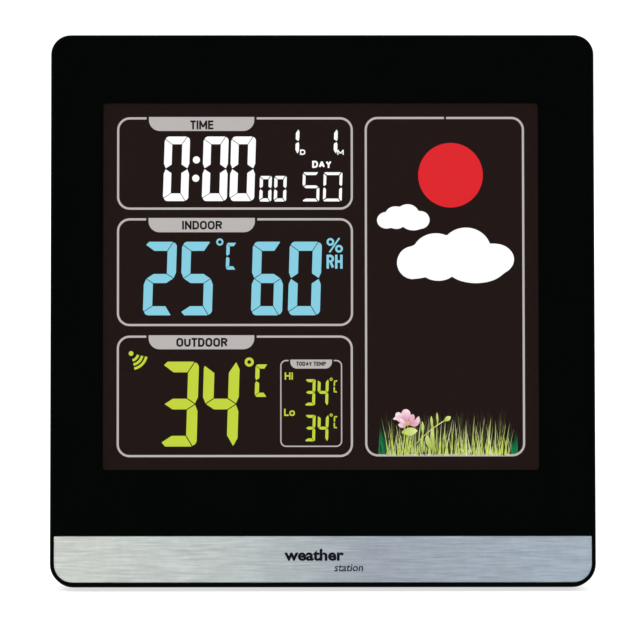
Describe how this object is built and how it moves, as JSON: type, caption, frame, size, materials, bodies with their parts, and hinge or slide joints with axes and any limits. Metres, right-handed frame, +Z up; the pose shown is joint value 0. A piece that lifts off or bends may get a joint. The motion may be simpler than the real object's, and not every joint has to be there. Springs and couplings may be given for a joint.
{
  "type": "home weather station",
  "caption": "Square desktop weather station with a flush black display face, a brushed metal strip, rear keys, a battery door and a fold-out leg.",
  "frame": {"origin": "middle of the footprint on the desk, under the leaning case", "axes": "+Z up, +X to the right seen from the front, and the display faces -Y, leaned back by 10 degrees"},
  "size_m": [0.182, 0.0584, 0.184],
  "materials": {
    "frame_gloss": "gloss",
    "lens_clear": "gloss",
    "trim_aluminium": "brushed",
    "case_black": "satin",
    "key_black": "satin",
    "tray_white": "matte",
    "lcd_glass": "gloss",
    "film_grey": "satin",
    "guide_acrylic": "gloss",
    "board_green": "satin",
    "chip_black": "matte",
    "contact_steel": "satin",
    "screw_steel": "satin",
    "copper_wire": "satin",
    "ferrite_grey": "matte",
    "rubber_black": "matte",
    "cell_blue": "satin",
    "tape_white": "matte",
    "insulation_red": "satin",
    "insulation_black": "satin"
  },
  "bodies": {
    "case": {"front_frame": "frame_gloss", "front_lens": "lens_clear", "lens_tape": "tape_white", "trim_strip": "trim_aluminium", "trim_tape": "tape_white", "lcd_front_glass": "lcd_glass", "lcd_rear_glass": "lcd_glass", "colour_film": "film_grey", "diffuser_sheet": "tray_white", "light_guide": "guide_acrylic", "reflector_sheet": "tray_white", "led_board": "tray_white", "backlight_tray": "tray_white", "zebra_strip": "rubber_black", "main_board": "board_green", "controller_chip": "chip_black", "radio_module": "board_green", "radio_antenna": "copper_wire", "ferrite_rod": "ferrite_grey", "ferrite_coil": "copper_wire", "buzzer": "chip_black", "sensor_board": "board_green", "quartz_crystal": "contact_steel", "dc_jack": "chip_black", "key_board": "board_green", "board_connector": "chip_black", "rear_cover": "case_black", "battery_1": "cell_blue", "battery_2": "cell_blue", "battery_3": "cell_blue", "contact_plus": "contact_steel", "contact_minus": "contact_steel", "contact_link_left": "contact_steel", "contact_link_right": "contact_steel", "battery_lead_red": "insulation_red", "battery_lead_black": "insulation_black", "base_foot_left": "rubber_black", "base_foot_right": "rubber_black", "case_screw_1": "screw_steel", "case_screw_2": "screw_steel", "case_screw_3": "screw_steel", "case_screw_4": "screw_steel", "tray_screw_1": "screw_steel", "tray_screw_2": "screw_steel", "tray_screw_3": "screw_steel", "tray_screw_4": "screw_steel", "board_screw_1": "screw_steel", "board_screw_2": "screw_steel", "board_screw_3": "screw_steel", "board_screw_4": "screw_steel"},
    "stand": {"stand_leg": "case_black", "stand_foot": "rubber_black"},
    "door": {"battery_door": "case_black"},
    "snooze_key": {"snooze_key": "key_black"},
    "unit_switch": {"unit_switch": "key_black"},
    "mode_key": {"mode_key": "key_black"},
    "up_key": {"up_key": "key_black"},
    "down_key": {"down_key": "key_black"},
    "channel_key": {"channel_key": "key_black"},
    "alarm_key": {"alarm_key": "key_black"}
  },
  "joints": [
    {"name": "stand_hinge", "type": "hinge", "parent": "case", "child": "stand", "pos_m": [0, 0.00719, 0.0609], "axis": [1, 0, 0], "range_deg": [-28, 0]},
    {"name": "door_hinge", "type": "hinge", "parent": "case", "child": "door", "pos_m": [0, 0.01132, 0.07601], "axis": [-1, 0, 0], "range_deg": [0, 85]},
    {"name": "snooze_press", "type": "slide", "parent": "case", "child": "snooze_key", "axis": [0, -0.1736, -0.9848], "range_m": [0, 0.0007], "stiffness_N_per_m": 400},
    {"name": "unit_slide", "type": "slide", "parent": "case", "child": "unit_switch", "axis": [0, 0.1736, 0.9848], "range_m": [0, 0.002]},
    {"name": "mode_press", "type": "slide", "parent": "case", "child": "mode_key", "axis": [0, -0.9848, 0.1736], "range_m": [0, 0.0006], "stiffness_N_per_m": 300},
    {"name": "up_press", "type": "slide", "parent": "case", "child": "up_key", "axis": [0, -0.9848, 0.1736], "range_m": [0, 0.0006], "stiffness_N_per_m": 300},
    {"name": "down_press", "type": "slide", "parent": "case", "child": "down_key", "axis": [0, -0.9848, 0.1736], "range_m": [0, 0.0006], "stiffness_N_per_m": 300},
    {"name": "channel_press", "type": "slide", "parent": "case", "child": "channel_key", "axis": [0, -0.9848, 0.1736], "range_m": [0, 0.0006], "stiffness_N_per_m": 300},
    {"name": "alarm_press", "type": "slide", "parent": "case", "child": "alarm_key", "axis": [0, -0.9848, 0.1736], "range_m": [0, 0.0006], "stiffness_N_per_m": 300}
  ]
}
